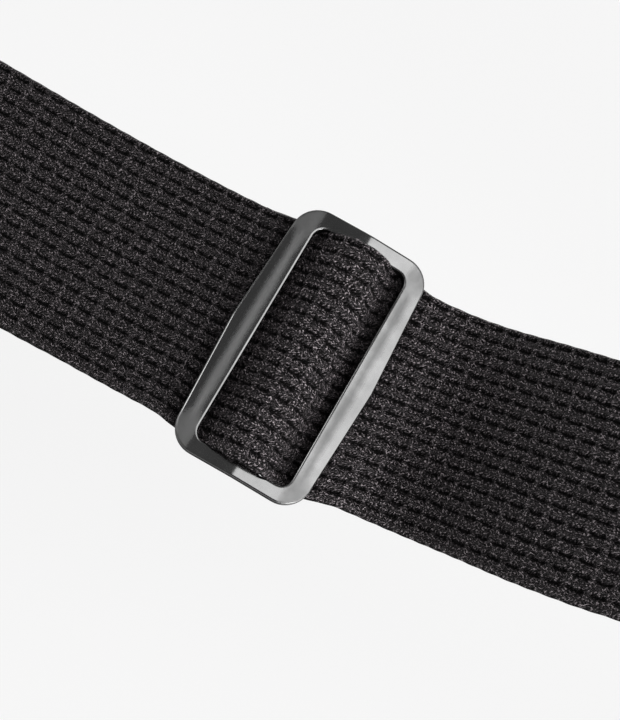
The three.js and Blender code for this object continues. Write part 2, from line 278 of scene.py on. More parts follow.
def return_end(run):
    """From under the long run up to the centre bar, round it, and back as the sewn flap."""
    near = run[(run[:, 0] > NEAR_TAIL_X) & (run[:, 0] < -13.5 * MM)]
    below = LAYER * (1 + smoothstep(near[:, 0], -34 * MM, -25 * MM))
    lower = offset(near, -below)
    climb = [(x * MM, SLIDER_Z + z * MM) for x, z in ((-10.6, -7.8), (-7.2, -6.7), (-4.2, -4.4))]
    reach = GAP + THICKNESS / 2
    turn = arc(BAR_WIDE / 2, SLIDER_Z, SLIDER_THICK / 2 + reach + 0.15 * MM, -90, 90)
    over = run[(run[:, 0] > FLAP_END_X) & (run[:, 0] < -0.6 * MM)]
    flap = offset(over, -LAYER)[::-1]
    under = [(-BAR_WIDE / 2, SLIDER_Z - SLIDER_THICK / 2 - reach - 0.1 * MM)]
    line = np.vstack([lower, climb, under, turn, flap])
    line[0] = (NEAR_TAIL_X, LOWER_Z)
    return relaxed(line, 0.6 * MM)


def ring_fold():
    upper = [(NEAR_TAIL_X, UPPER_Z), (FOLD_BAR_X + 24 * MM, UPPER_Z)]
    upper += [(FOLD_BAR_X + 16 * MM, UPPER_Z + 0.7 * MM), (FOLD_BAR_X + 7 * MM, RING_Z + 2.2 * MM)]
    lower = [(FOLD_BAR_X + 7 * MM, LOWER_Z + 0.25 * MM), (FOLD_BAR_X + 13 * MM, LOWER_Z)]
    lower += [(NEAR_TAIL_X, LOWER_Z)]
    turn = arc(FOLD_BAR_X, RING_Z, FOLD_RADIUS, 80, 280)
    return relaxed(np.vstack([upper, turn, lower]), 0.8 * MM)


def tail_loop():
    sewn_in = TAIL_EDGE_X - TAB_OVERLAP
    first = PLY + GAP + THICKNESS / 2
    second = first + LAYER
    upper = [(sewn_in, second), (TAIL_EDGE_X - 1 * MM, second), (TAIL_BAR_X - 7.5 * MM, RING_Z + 2.25 * MM)]
    lower = [(TAIL_BAR_X - 7.5 * MM, RING_Z - 2.25 * MM), (TAIL_EDGE_X - 1 * MM, first), (sewn_in, first)]
    turn = arc(TAIL_BAR_X, RING_Z, FOLD_RADIUS, 105, -105)
    return relaxed(np.vstack([upper, turn, lower]), 0.8 * MM)


# ---- Meshes ----


def new_object(name, vertices, faces):
    mesh = bpy.data.meshes.new(name)
    mesh.from_pydata([tuple(v) for v in vertices], [], faces)
    mesh.validate()
    mesh.update()
    mesh.polygons.foreach_set("use_smooth", [True] * len(mesh.polygons))
    obj = bpy.data.objects.new(name, mesh)
    bpy.context.scene.collection.objects.link(obj)
    return obj


def tube_faces(here, ahead):
    """Quads between each ring of point numbers and the next one."""
    quads = np.stack([here, np.roll(here, -1, axis=1), np.roll(ahead, -1, axis=1), ahead], -1)
    return quads.reshape(-1, 4).tolist()


def grid_object(name, rings, closed_along=False):
    """A closed tube through rings of points: rings has the shape stations, points round, 3."""
    stations, around = rings.shape[:2]
    index = np.arange(stations * around).reshape(stations, around)
    ahead = np.roll(index, -1, axis=0) if closed_along else index[1:]
    here = index if closed_along else index[:-1]
    faces = tube_faces(here, ahead)
    if not closed_along:
        faces += [index[0][::-1].tolist(), index[-1].tolist()]
    return new_object(name, rings.reshape(-1, 3), faces)


# Small differences from one float of yarn to the next, for every second pick and every warp.
FLOAT_ROWS = 512
FLOATS = (FLOAT_ROWS, WARPS)
FLOAT_RISE = random.uniform(-1, 1, FLOATS)
FLOAT_ALONG = random.uniform(-1, 1, FLOATS)
FLOAT_ACROSS = random.uniform(-1, 1, FLOATS)
FLOAT_SIZE = random.uniform(-1, 1, FLOATS)
PAIR_SHIFT = 0.11 * np.arange(WARPS) + 0.12 * random.uniform(-1, 1, WARPS)


def bell(x, width):
    return np.exp(-((x / width) ** 2))


def yarn_floats(pick, warp):
    """Height of the warps' knuckles, one for every pick. The warps of a pair take turns to stand higher."""
    highest = 0
    for step in (-1, 0, 1):
        column = np.clip(np.floor(warp) + step, 0, WARPS - 1).astype(int)
        second = column % 2
        along = pick + PAIR_SHIFT[column // 2]
        cell = np.rint(along)
        index = cell.astype(int) % FLOAT_ROWS
        proud = np.where((index + second) % 2 == 0, 1, 0)
        place = along - cell + 0.09 * FLOAT_ALONG[index, column]
        centre = column + 0.56 - 0.12 * second + 0.09 * FLOAT_ACROSS[index, column]
        size = 0.93 + 0.10 * proud + 0.11 * FLOAT_SIZE[index, column]
        away = (warp - centre - 0.30 * place) / (0.60 * size)
        oval = np.sqrt(np.clip(1 - (place / (0.52 * size)) ** 2 - away**2, 0, 1))
        tall = 0.38 + 0.10 * proud + 0.09 * FLOAT_RISE[index, column]
        highest = np.maximum(highest, oval * tall)
    return highest


def weave_height(pick, warp):
    """Height of the woven face in millimetres.

    Warps lie in pairs, parted by grooves that close at every second pick.
    """
    pair = np.clip(np.floor(warp / 2), 0, WARPS // 2).astype(int)
    across = warp - 2 * pair
    along = pick + PAIR_SHIFT[pair]
    dash_number = np.rint(along / 2)
    place = along - 2 * dash_number
    uneven = FLOAT_RISE[dash_number.astype(int) % FLOAT_ROWS, pair]
    open_groove = 1 - smoothstep(np.abs(place), 0.52 + 0.1 * uneven, 0.80 + 0.1 * uneven)
    arched = across + 0.13 * np.cos(math.pi * place)
    to_groove = np.abs(arched - 2 * np.rint(arched / 2))
    fall = np.abs(across - 1) ** 3 * (0.30 + 0.70 * open_groove)
    groove = bell(to_groove, 0.27) * (0.12 + 0.88 * open_groove)
    knot = bell(to_groove - 0.45, 0.32) * bell(np.abs(place) - 1, 0.30)
    deep_hole = bell(to_groove, 0.34) * bell(place - 0.55, 0.22)
    height = 0.14 + 0.24 * (1 - fall) + 0.34 * yarn_floats(pick, warp) + 0.07 * knot
    return height - 0.30 * groove - 0.12 * deep_hole


def lie_of_fibres(pick, warp):
    """Places on the face, measured along and across its fibres, which lean to either side by turns."""
    column = np.clip(np.floor(warp), 0, WARPS - 1)
    lean = np.where(column % 2 == 0, 1, -1) * math.radians(34)
    along, across = pick * PICK, (warp - column - 0.5) * WARP
    first = along * np.cos(lean) + across * np.sin(lean)
    second = across * np.cos(lean) - along * np.sin(lean)
    return first, second + 0.01 * column


def spread(x):
    return 1 + (SPREAD - 1) * (1 - smoothstep(np.abs(x), 11 * MM, 22 * MM))


def webbing(name, line, first_pick, direction, per_warp, per_pick, shift=None):
    """A woven strip along a line in XZ, and its last pick. Picks are counted up or down from first_pick."""
    total = lengths(line)[-1]
    rows = int(round(total / PICK * per_pick)) + 1
    centre = resample(line, rows)
    normal = normals(centre)
    pick = first_pick + direction * np.linspace(0, total / PICK, rows)[:, None]
    wider = spread(centre[:, 0])[:, None]
    core = THICKNESS / 2 - RELIEF

    def face(columns, side):
        warp = np.linspace(0, WARPS, columns)[None, :]
        y = (warp / WARPS - 0.5) * WIDTH
        from_edge = WIDTH / 2 - np.abs(y)
        round_edge = np.sqrt(1 - (1 - np.clip(from_edge / SELVEDGE, 0, 1)) ** 2)
        woven = weave_height(pick + (0 if side > 0 else 1), warp)
        woven += 0.025 * random.uniform(-1, 1, woven.shape)
        height = (core + woven * MM) * round_edge
        scallop = 0.04 * MM * np.cos(np.pi * pick) * np.clip(1 - from_edge / (1.5 * MM), 0, 1)
        points = np.empty((rows, columns, 3))
        points[..., 0] = centre[:, None, 0] + side * height * normal[:, None, 0]
        points[..., 1] = y * wider + np.sign(y) * scallop
        points[..., 2] = centre[:, None, 1] + side * height * normal[:, None, 1]
        if shift is not None:
            points[..., 1] += shift(centre[:, 0])[:, None]
        marks = np.empty((rows, columns, 3))
        marks[..., 0], marks[..., 1] = lie_of_fibres(pick, warp)
        # The face's height from groove to knuckle top; the material darkens the colour with it towards the
        # grooves as painted shade, and sets roughness by it.
        marks[..., 2] = np.clip((woven + 0.10) / 0.70, 0, 1)
        return points, marks

    top, top_marks = face(WARPS * per_warp + 1, 1)
    bottom, bottom_marks = face(WARPS * max(per_warp // 2, 2) + 1, -1)
    rings = np.concatenate([top, bottom[:, 1:-1][:, ::-1]], axis=1)
    marks = np.concatenate([top_marks, bottom_marks[:, 1:-1][:, ::-1]], axis=1)
    obj = grid_object(name, rings)
    weave = obj.data.attributes.new("weave", "FLOAT_VECTOR", "POINT")
    weave.data.foreach_set("vector", marks.ravel())
    # Per-vertex share of the painted glints in the fibre colour, taken from the table along X.
    glints_x, glints_share = np.transpose(GLINTS_ALONG_X)
    painted_glints = obj.data.attributes.new("painted_glints", "FLOAT", "POINT")
    glints_at = np.interp(centre[:, 0], glints_x * MM, glints_share)
    painted_glints.data.foreach_set("value", np.repeat(glints_at, rings.shape[1]))
    obj.data.materials.append(WEBBING)
    return obj, first_pick + direction * total / PICK


# ---- Materials ----


def material(name, **values):
    made = bpy.data.materials.new(name)
    made.use_nodes = True
    nodes, links = made.node_tree.nodes, made.node_tree.links
    shader = nodes["Principled BSDF"]
    for socket, value in values.items():
        shader.inputs[socket.replace("_", " ")].default_value = value
    return made, nodes, links, shader


def noise(nodes, links, coordinate, scale, detail=2.0, roughness=0.5):
    node = nodes.new("ShaderNodeTexNoise")
    node.inputs["Scale"].default_value = scale
    node.inputs["Detail"].default_value = detail
    node.inputs["Roughness"].default_value = roughness
    links.new(coordinate, node.inputs["Vector"])
    return node.outputs["Fac"]


def ramp(nodes, links, value, stops):
    node = nodes.new("ShaderNodeValToRGB")
    while len(node.color_ramp.elements) < len(stops):
        node.color_ramp.elements.new(0.5)
    for element, (place, colour) in zip(node.color_ramp.elements, stops):
        element.position = place
        element.color = (*colour, 1)
    links.new(value, node.inputs["Fac"])
    return node.outputs["Color"]


def bump(nodes, links, height, strength, distance, below=None):
    node = nodes.new("ShaderNodeBump")
    node.inputs["Strength"].default_value = strength
    node.inputs["Distance"].default_value = distance
    links.new(height, node.inputs["Height"])
    if below is not None:
        links.new(below, node.inputs["Normal"])
    return node.outputs["Normal"]


def stretched(nodes, links, scale, turn=0.0):
    coordinate = nodes.new("ShaderNodeTexCoord")
    mapping = nodes.new("ShaderNodeMapping")
    mapping.inputs["Scale"].default_value = scale
    mapping.inputs["Rotation"].default_value = (0, 0, turn)
    links.new(coordinate.outputs["Object"], mapping.inputs["Vector"])
    return mapping.outputs["Vector"]


def grey(value, warm=0.0):
    return (value * (1 + warm), value, value * (1 + warm / 3))


def warm_black(value):
    return (value * 1.10, value * 0.97, value * 1.02)


# Brightness of the webbing's colour where its fibres' noise has each value. The low stops are the fibres'
# own speckled tone. The bright top stops are painted glints, and the glinting set has the stronger ones.
GLINTING_FIBRES = [(0.40, 0.003), (0.49, 0.015), (0.55, 0.075), (0.61, 0.47)]
PLAIN_FIBRES = [(0.40, 0.004), (0.49, 0.015), (0.55, 0.05), (0.61, 0.17)]


def webbing_material():
    made, nodes, links, shader = material("black_webbing")
    shader.inputs["Specular IOR Level"].default_value = 0.2
    marks = nodes.new("ShaderNodeAttribute")
    marks.attribute_name = "weave"
    parts = nodes.new("ShaderNodeSeparateXYZ")
    links.new(marks.outputs["Vector"], parts.inputs[0])
    lie = nodes.new("ShaderNodeMapping")
    lie.inputs["Scale"].default_value = (1, 1.5, 0)
    links.new(marks.outputs["Vector"], lie.inputs["Vector"])
    strand = noise(nodes, links, lie.outputs["Vector"], 1600, 1, 0.5)
    hair = noise(nodes, links, lie.outputs["Vector"], 2400, 1, 0.5)
    both = nodes.new("ShaderNodeMix")
    both.inputs[0].default_value = 0.42
    links.new(hair, both.inputs[2])
    links.new(strand, both.inputs[3])
    # Fibre speckle whose brightest specks are painted glints, mixed by the per-vertex share of painted
    # glints.
    glinting = ramp(nodes, links, both.outputs[0], [(x, warm_black(value)) for x, value in GLINTING_FIBRES])
    plain = ramp(nodes, links, both.outputs[0], [(x, warm_black(value)) for x, value in PLAIN_FIBRES])
    share = nodes.new("ShaderNodeAttribute")
    share.attribute_name = "painted_glints"
    lit = nodes.new("ShaderNodeMix")
    lit.data_type = "RGBA"
    links.new(share.outputs["Fac"], lit.inputs["Factor"])
    links.new(plain, lit.inputs[6])
    links.new(glinting, lit.inputs[7])
    # Painted shade and light: the fibre colour is multiplied down into the weave's grooves and holes, and
    # up on the knuckle tops, by the face's height.
    groove_shade_stops = [(0.06, grey(0.04)), (0.50, grey(0.50)), (0.92, grey(1.35))]
    painted_groove_shade = ramp(nodes, links, parts.outputs["Z"], groove_shade_stops)
    colour = nodes.new("ShaderNodeMix")
    colour.data_type = "RGBA"
    colour.blend_type = "MULTIPLY"
    colour.inputs["Factor"].default_value = 1.0
    links.new(lit.outputs[2], colour.inputs[6])
    links.new(painted_groove_shade, colour.inputs[7])
    links.new(colour.outputs[2], shader.inputs["Base Color"])
    gloss = ramp(nodes, links, parts.outputs["Z"], [(0.35, grey(1)), (0.85, grey(0.32))])
    links.new(gloss, shader.inputs["Roughness"])
    coarse = bump(nodes, links, strand, 1.0, 0.9 * MM)
    links.new(bump(nodes, links, hair, 1.0, 0.5 * MM, coarse), shader.inputs["Normal"])
    return made


def math_node(nodes, links, operation, first, second=None, third=None):
    node = nodes.new("ShaderNodeMath")
    node.operation = operation
    for slot, value in zip(node.inputs, (first, second, third)):
        if isinstance(value, (int, float)):
            slot.default_value = value
        elif value is not None:
            links.new(value, slot)
    return node.outputs[0]


def rise(nodes, links, value, start, reach):
    """Nought up to start, and one from start + reach on."""
    node = nodes.new("ShaderNodeMapRange")
    node.inputs["From Min"].default_value = start
    node.inputs["From Max"].default_value = start + reach
    links.new(value, node.inputs["Value"])
    return node.outputs["Result"]


def metal_material():
    """Smooth dark plating, rubbed duller along the long bars and at the corners, with dull edges, and with
    its side walls coloured near black as painted shade.
    """
    made, nodes, links, shader = material("black_metal", Metallic=1.0)
    shader.inputs["Specular Tint"].default_value = (0.1, 0.1, 0.1, 1)
    place = nodes.new("ShaderNodeTexCoord")
    parts = nodes.new("ShaderNodeSeparateXYZ")
    links.new(place.outputs["Object"], parts.inputs[0])
    grain = noise(nodes, links, place.outputs["Object"], 2600, 2, 0.5)
    cloud = noise(nodes, links, place.outputs["Object"], 170, 4, 0.55)
    side = nodes.new("ShaderNodeSeparateXYZ")
    links.new(place.outputs["Normal"], side.inputs[0])
    facing = math_node(nodes, links, "ABSOLUTE", side.outputs["Z"])
    face = ramp(nodes, links, cloud, [(0.30, grey(0.26)), (0.70, grey(0.34))])
    # Painted shade: faces that look sideways, such as the slider's side walls and the sides of the ring's
    # wire, get a near-black colour.
    painted_wall_shade = ramp(nodes, links, facing, [(0.30, grey(0.05)), (0.45, grey(1))])
    colour = nodes.new("ShaderNodeMix")
    colour.data_type = "RGBA"
    colour.blend_type = "MULTIPLY"
    colour.inputs["Factor"].default_value = 1.0
    links.new(face, colour.inputs[6])
    links.new(painted_wall_shade, colour.inputs[7])
    links.new(colour.outputs[2], shader.inputs["Base Color"])
    away = math_node(nodes, links, "ABSOLUTE", parts.outputs["X"])
    from_streak = math_node(nodes, links, "ABSOLUTE", math_node(nodes, links, "SUBTRACT", away, STREAK_X))
    streak = math_node(nodes, links, "MULTIPLY", from_streak, 1 / STREAK_WIDE)
    wander = math_node(nodes, links, "MULTIPLY_ADD", cloud, 0.8, -0.40)
    along = math_node(nodes, links, "ABSOLUTE", parts.outputs["Y"])
    past_bar = rise(nodes, links, along, 20 * MM, 4 * MM)
    past_window = rise(nodes, links, away, 8.5 * MM, 3 * MM)
    in_corner = math_node(nodes, links, "MULTIPLY", past_bar, past_window)
    to_corner = math_node(nodes, links, "SUBTRACT", 0.3, streak)
    rubbed = math_node(nodes, links, "MULTIPLY_ADD", in_corner, to_corner, streak)
    worn = math_node(nodes, links, "ADD", rubbed, wander)
    base_rough = ramp(nodes, links, worn, [(0.10, grey(0.46)), (0.90, grey(0.15))])
    grainy = math_node(nodes, links, "MULTIPLY_ADD", grain, 0.10, -0.05)
    dull_edge = ramp(nodes, links, facing, [(0.30, grey(0.95)), (0.45, grey(0))])
    face_rough = math_node(nodes, links, "ADD", base_rough, grainy)
    links.new(math_node(nodes, links, "MAXIMUM", face_rough, dull_edge), shader.inputs["Roughness"])
    links.new(bump(nodes, links, grain, 0.2, 0.02 * MM), shader.inputs["Normal"])
    return made


def leather_material():
    made, nodes, links, shader = material("black_leather", Roughness=0.5)
    vector = stretched(nodes, links, (1, 1, 1))
    pebble = nodes.new("ShaderNodeTexVoronoi")
    pebble.feature = "DISTANCE_TO_EDGE"
    pebble.inputs["Scale"].default_value = 900
    wander = noise(nodes, links, vector, 400, 2, 0.5)
    warp = nodes.new("ShaderNodeVectorMath")
    warp.operation = "MULTIPLY_ADD"
    warp.inputs[1].default_value = (0.0012,) * 3
    links.new(wander, warp.inputs[0])
    links.new(vector, warp.inputs[2])
    links.new(warp.outputs[0], pebble.inputs["Vector"])
    crease = ramp(nodes, links, pebble.outputs["Distance"], [(0.0, grey(0)), (0.16, grey(1))])
    fine = noise(nodes, links, vector, 2500, 3, 0.6)
    broad = noise(nodes, links, vector, 45, 3, 0.5)
    colour = ramp(nodes, links, broad, [(0.3, grey(0.012, 0.1)), (0.7, grey(0.022, 0.08))])
    links.new(colour, shader.inputs["Base Color"])
    links.new(ramp(nodes, links, broad, [(0.3, grey(0.42)), (0.7, grey(0.58))]), shader.inputs["Roughness"])
    under = bump(nodes, links, fine, 0.25, 0.05 * MM)
    links.new(bump(nodes, links, crease, 0.55, 0.09 * MM, under), shader.inputs["Normal"])
    return made


def thread_material():
    made, nodes, links, shader = material("black_thread", Roughness=0.55)
    ply_twist = noise(nodes, links, stretched(nodes, links, (3, 1, 1), 0.7), 2200, 2, 0.5)
    colour = ramp(nodes, links, ply_twist, [(0.35, grey(0.018)), (0.7, grey(0.06))])
    links.new(colour, shader.inputs["Base Color"])
    links.new(bump(nodes, links, ply_twist, 0.6, 0.08 * MM), shader.inputs["Normal"])
    return made


WEBBING = webbing_material()
METAL = metal_material()
LEATHER = leather_material()
THREADS = thread_material()

# ---- Camera: a long lens, close above the slider, tilted a little from the strap's -Y side ----

CAMERA_DISTANCE = 320 * MM
CAMERA_TILT = math.radians(14)
CAMERA_ROLL = math.radians(30.3)
LENS = 78.0
AIM = (1.6 * MM, -1.2 * MM)  # right and up of the slider's middle, in the picture


def make_camera():
    level, high = Vector((1, 0, 0)), Vector((0, math.cos(CAMERA_TILT), math.sin(CAMERA_TILT)))
    right = level * math.cos(CAMERA_ROLL) + high * math.sin(CAMERA_ROLL)
    up = high * math.cos(CAMERA_ROLL) - level * math.sin(CAMERA_ROLL)
    back = right.cross(up)
    data = bpy.data.cameras.new("camera")
    data.lens = LENS
    data.clip_start, data.clip_end = 0.01, 100
    camera = bpy.data.objects.new("camera", data)
    bpy.context.scene.collection.objects.link(camera)
    place = Vector((0, 0, SLIDER_Z)) + right * AIM[0] + up * AIM[1] + back * CAMERA_DISTANCE
    turn = Matrix((right, up, back)).transposed().to_4x4()
    camera.matrix_world = Matrix.Translation(place) @ turn
    bpy.context.scene.camera = camera


make_camera()

# ---- Webbing ----

STRAY_LINE = catmull([(x * MM, y * MM) for x, y in STRAY])


def sway(x):
    in_window = WINDOW_LOWER * (1 - smoothstep(np.abs(x), 7 * MM, 9 * MM))
    return np.interp(x, STRAY_LINE[:, 0], STRAY_LINE[:, 1]) - in_window


def flap_shift(x):
    """The sewn end lies a little to one side, and the loop at its other end lies straight on the bar."""
    in_window = smoothstep(x, -8 * MM, -6.2 * MM)
    return FLAP_SHIFT * smoothstep(x, -60 * MM, -25 * MM) * (1 - in_window) - WINDOW_LOWER * in_window


RUN = long_run()
NEAR_RUN = RUN[RUN[:, 0] <= NEAR_HEAD_X]
FAR_RUN = RUN[RUN[:, 0] >= NEAR_RUN[-1, 0]]
FOLD = ring_fold()

near, pick_at_split = webbing("webbing_at_slider", NEAR_RUN, 0, 1, 5, 7, sway)
far, _ = webbing("webbing_to_head", FAR_RUN, pick_at_split, 1, 3, 3, sway)
fold, pick_at_return = webbing("webbing_round_ring", FOLD, 0, -1, 2, 2)
END = return_end(RUN)
end, _ = webbing("webbing_end_at_bar", END, pick_at_return, -1, 3, 4, flap_shift)
LOOP = tail_loop()
loop, _ = webbing("tail_webbing_loop", LOOP, 0, 1, 3, 4)

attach(near, "slider")
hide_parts("webbing_through_slider")
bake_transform(far)
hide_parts("webbing_to_head_tab")
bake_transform(fold)
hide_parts("webbing_fold_at_ring")
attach(end, "slider")
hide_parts("webbing_end_round_centre_bar")
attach(loop, "tail_tab")
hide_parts("tail_loop")

# ---- Slider ----


def corner_arc(x, y, radius, start, steps):
    angle = np.radians(start + np.linspace(0, 90, steps))
    return np.stack([x + radius * np.cos(angle), y + radius * np.sin(angle)], 1)


def straight(a, b, steps, crowd=False):
    """Points from a to b without the last one. With crowd, they crowd together at the middle."""
    t = np.linspace(0, 1, steps, endpoint=False)
    if crowd:
        t = 0.5 + 4 * (t - 0.5) ** 3
    return np.array(a) + t[:, None] * (np.array(b) - np.array(a))


def frame_outline(half_x, half_y, corner, waist, dent=0.0):
    """Anticlockwise from the lower right corner's end: right side, top, left side, bottom."""
    x, y = half_x - corner, half_y - corner
    side, end, turn = 40, 60, 12
    right = [straight((half_x, -y), (waist, 0), side), straight((waist, 0), (half_x, y), side)]
    left = [straight((-half_x, y), (-waist, 0), side), straight((-waist, 0), (-half_x, -y), side)]
    outline = np.vstack(
        [
            *right,
            corner_arc(x, y, corner, 0, turn)[:-1],
            straight((x, half_y), (-x, half_y), end, True),
            corner_arc(-x, y, corner, 90, turn)[:-1],
            *left,
            corner_arc(-x, -y, corner, 180, turn)[:-1],
            straight((-x, -half_y), (x, -half_y), end, True),
            corner_arc(x, -y, corner, 270, turn)[:-1],
        ]
    )
    at_end = np.abs(outline[:, 1]) > half_y - 0.01 * MM
    middle = 1 - smoothstep(np.abs(outline[:, 0]), 2.0 * MM, 3.6 * MM)
    outline[:, 1] -= np.sign(outline[:, 1]) * np.where(at_end, dent * middle, 0)
    return outline


def outward(outline):
    """Unit vectors square to a closed outline, pointing out of it."""
    along = np.roll(outline, -1, axis=0) - np.roll(outline, 1, axis=0)
    along /= np.linalg.norm(along, axis=1)[:, None]
    return np.stack([along[:, 1], -along[:, 0]], 1)


def slider_frame():
    outer = frame_outline(SLIDER_END, SLIDER_HALF, SLIDER_CORNER, SLIDER_WAIST)
    inner = frame_outline(WINDOW_X, WINDOW_Y, WINDOW_CORNER, WINDOW_X, WINDOW_STEP)
    inner += (WINDOW_SHIFT, -WINDOW_LOWER)
    half = SLIDER_THICK / 2
    turns = np.radians(range(90, -1, -10))
    rolled = [(EDGE_WIDE * (1 - math.sin(a)), EDGE_DEEP * (1 - math.cos(a))) for a in turns]
    profile = [("outer", inset, drop - half) for inset, drop in rolled]
    profile += [("outer", inset, half - drop) for inset, drop in rolled]
    profile += [("inner", inset, half - drop) for inset, drop in rolled[::-1]]
    profile += [("inner", inset, drop - half) for inset, drop in rolled]
    outer_out, inner_out = outward(outer), outward(inner)
    rings = np.empty((len(outer), len(profile), 3))
    for k, (edge, inset, z) in enumerate(profile):
        flat = outer - outer_out * inset if edge == "outer" else inner + inner_out * inset
        rings[:, k, :2] = flat
        rings[:, k, 2] = z
    ridge = np.sqrt(rings[..., 0] ** 2 + RIDGE_SOFT**2)
    rings[..., 2] += SLIDER_Z - ridge * math.tan(DROOP)
    return grid_object("slider_frame", rings, closed_along=True)


def centre_bar():
    """The bar between the two slots, which runs into the frame at both ends."""
    end = np.append(np.linspace(0.9, 1, 9), 1.03)
    y = np.concatenate([-end[::-1], np.linspace(-0.88, 0.88, 12), end])
    angle = np.linspace(0, 2 * np.pi, 32, endpoint=False)
    power = 0.6
    section_x = np.sign(np.cos(angle)) * np.abs(np.cos(angle)) ** power
    section_z = np.sign(np.sin(angle)) * np.abs(np.sin(angle)) ** power
    rings = np.empty((len(y), len(angle), 3))
    flare = 1 + 0.3 * np.clip((np.abs(y) - 0.93) / 0.07, 0, 1) ** 2
    rings[..., 0] = section_x * (BAR_WIDE / 2) * flare[:, None]
    rings[..., 1] = -(y * WINDOW_Y)[:, None] - WINDOW_LOWER
    rings[..., 2] = SLIDER_Z + section_z * BAR_THICK / 2 - BAR_DROP
    return grid_object("slider_bar", rings)


def join_solid(body, tool):
    modifier = body.modifiers.new("join", "BOOLEAN")
    modifier.operation = "UNION"
    modifier.solver = "EXACT"
    modifier.object = tool
    bpy.context.view_layer.update()
    evaluated = body.evaluated_get(bpy.context.evaluated_depsgraph_get())
    mesh = bpy.data.meshes.new_from_object(evaluated)
    body.modifiers.clear()
    body.data = mesh
    bpy.data.objects.remove(tool)
    return body


slider = join_solid(slider_frame(), centre_bar())
slider.name = "slider_tri_glide"
slider.data.materials.clear()
slider.data.materials.append(METAL)
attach(slider, "slider")
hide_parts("slider")


# ---- Ring ----


def wire_ring():
    radius = RING_WIRE / 2
    x, y = (RING_HIGH.x - RING_LOW.x) / 2 - radius, (RING_HIGH.y - RING_LOW.y) / 2 - radius
    turn = RING_CORNER + radius
    centre = np.vstack(
        [
            corner_arc(x - turn, y - turn, turn, 0, 12),
            corner_arc(turn - x, y - turn, turn, 90, 12),
            corner_arc(turn - x, turn - y, turn, 180, 12),
            corner_arc(x - turn, turn - y, turn, 270, 12),
        ]
    )
    out = outward(centre)
    angle = np.linspace(0, 2 * np.pi, 28, endpoint=False)
    rings = np.empty((len(centre), len(angle), 3))
    rings[..., :2] = centre[:, None] + out[:, None] * (radius * np.cos(angle))[None, :, None]
    rings[..., 2] = RING_Z - radius * np.sin(angle)
    rings[..., 0] += (RING_LOW.x + RING_HIGH.x) / 2
    return grid_object("wire_ring", rings, closed_along=True)


ring = wire_ring()
ring.data.materials.append(METAL)
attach(ring, "ring")
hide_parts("ring")

# ---- Leather tabs, drawn with x = 0 at the webbing side and the nose at x = TAB_LENGTH ----


def bezier(a, b, c, d, steps):
    t = np.linspace(0, 1, steps, endpoint=False)[:, None]
    a, b, c, d = (np.array(p) for p in (a, b, c, d))
    return a * (1 - t) ** 3 + 3 * b * t * (1 - t) ** 2 + 3 * c * t**2 * (1 - t) + d * t**3


def tab_outline(inset, spacing=1.2 * MM):
    """The tab's edge, or a line inside it, as evenly spaced points, anticlockwise."""
    wide, nose = TAB_WIDTH / 2 - inset, NOSE - inset
    nose_x = TAB_LENGTH - NOSE
    soft = max(2.5 * MM - inset, 0.2 * MM)
    shoulder = (nose_x - 20 * MM, TAB_OVERLAP + 16 * MM)
    line = np.vstack(
        [
            corner_arc(inset + soft, -wide + soft, soft, 180, 8),
            straight((inset + soft, -wide), (TAB_OVERLAP, -wide), 20)[1:],
            bezier((TAB_OVERLAP, -wide), (shoulder[1], -wide), (shoulder[0], -nose), (nose_x, -nose), 40),
            arc(nose_x, 0, nose, -90, 90, 60)[:-1],
            bezier((nose_x, nose), (shoulder[0], nose), (shoulder[1], wide), (TAB_OVERLAP, wide), 40),
            straight((TAB_OVERLAP, wide), (inset + soft, wide), 20),
            corner_arc(inset + soft, wide - soft, soft, 90, 8),
        ]
    )
    closed = np.vstack([line, line[:1]])
    return resample(closed, int(lengths(closed)[-1] / spacing))[:-1]


def button_hole(growth):
    x = TAB_LENGTH - HOLE_FROM_NOSE
    slit, radius = SLIT_WIDTH / 2 + growth, HOLE_RADIUS + growth
    opening = math.degrees(math.asin(slit / radius))
    slit_end = x - HOLE_RADIUS - SLIT_LENGTH
    around = arc(x, 0, radius, 180 + opening, 540 - opening, 40)
    tip = arc(slit_end, 0, slit, 90, 270, 8)
    to_tip, from_tip = straight(around[-1], tip[0], 10)[1:], straight(tip[-1], around[0], 10)[1:]
    return np.vstack([around, to_tip, tip, from_tip])


def ply_middle(x, high, low):
    """Height of a ply's middle at x: it starts high and comes down past the webbing's end."""
    first = TAB_OVERLAP + 2 * MM
    return high + (low - high) * smoothstep(x, first, first + PLY_STEP)


EDGE_ROUND = 0.7 * MM
GROOVE_HALF = 0.75 * MM
GROOVE_DEPTH = 0.32 * MM
# How far in from the leather's edge its face has loops of points: close at the edge and at the seam.
LOOP_INSETS = [inset * MM for inset in (0.08, 0.25, 0.45, 0.7, 1.6, 2.8, 3.3, 3.6, 3.95, 4.3, 4.6, 5.2)]


def face_drop(inset):
    """How far the leather's outer face lies below its full height at a distance in from the edge."""
    if inset < EDGE_ROUND:
        return EDGE_ROUND - math.sqrt(EDGE_ROUND**2 - (EDGE_ROUND - inset) ** 2)
    return GROOVE_DEPTH * math.exp(-(((inset - SEAM_INSET) / (0.5 * GROOVE_HALF)) ** 2))


def inner_points():
    """A grid of points on the tab, clear of its edge, its seam and its button hole."""
    inner_edge = tab_outline(6.4 * MM)
    hole_x = TAB_LENGTH - HOLE_FROM_NOSE
    slit_start = hole_x - HOLE_RADIUS - SLIT_LENGTH - 1.5 * MM
    grid = 2.2 * MM
    points = []
    for x in np.arange(7 * MM, TAB_LENGTH - 6 * MM, grid):
        reach = np.abs(inner_edge[np.abs(inner_edge[:, 0] - x) < 2 * MM][:, 1])
        if not len(reach):
            continue
        for y in np.arange(-24 * MM, 24.1 * MM, grid):
            at_hole = math.hypot(x - hole_x, y) < HOLE_RADIUS + 1.2 * MM
            at_slit = abs(y) < 1.9 * MM and slit_start < x < hole_x
            if abs(y) < reach.min() and not at_hole and not at_slit:
                points.append((x, y))
    return points


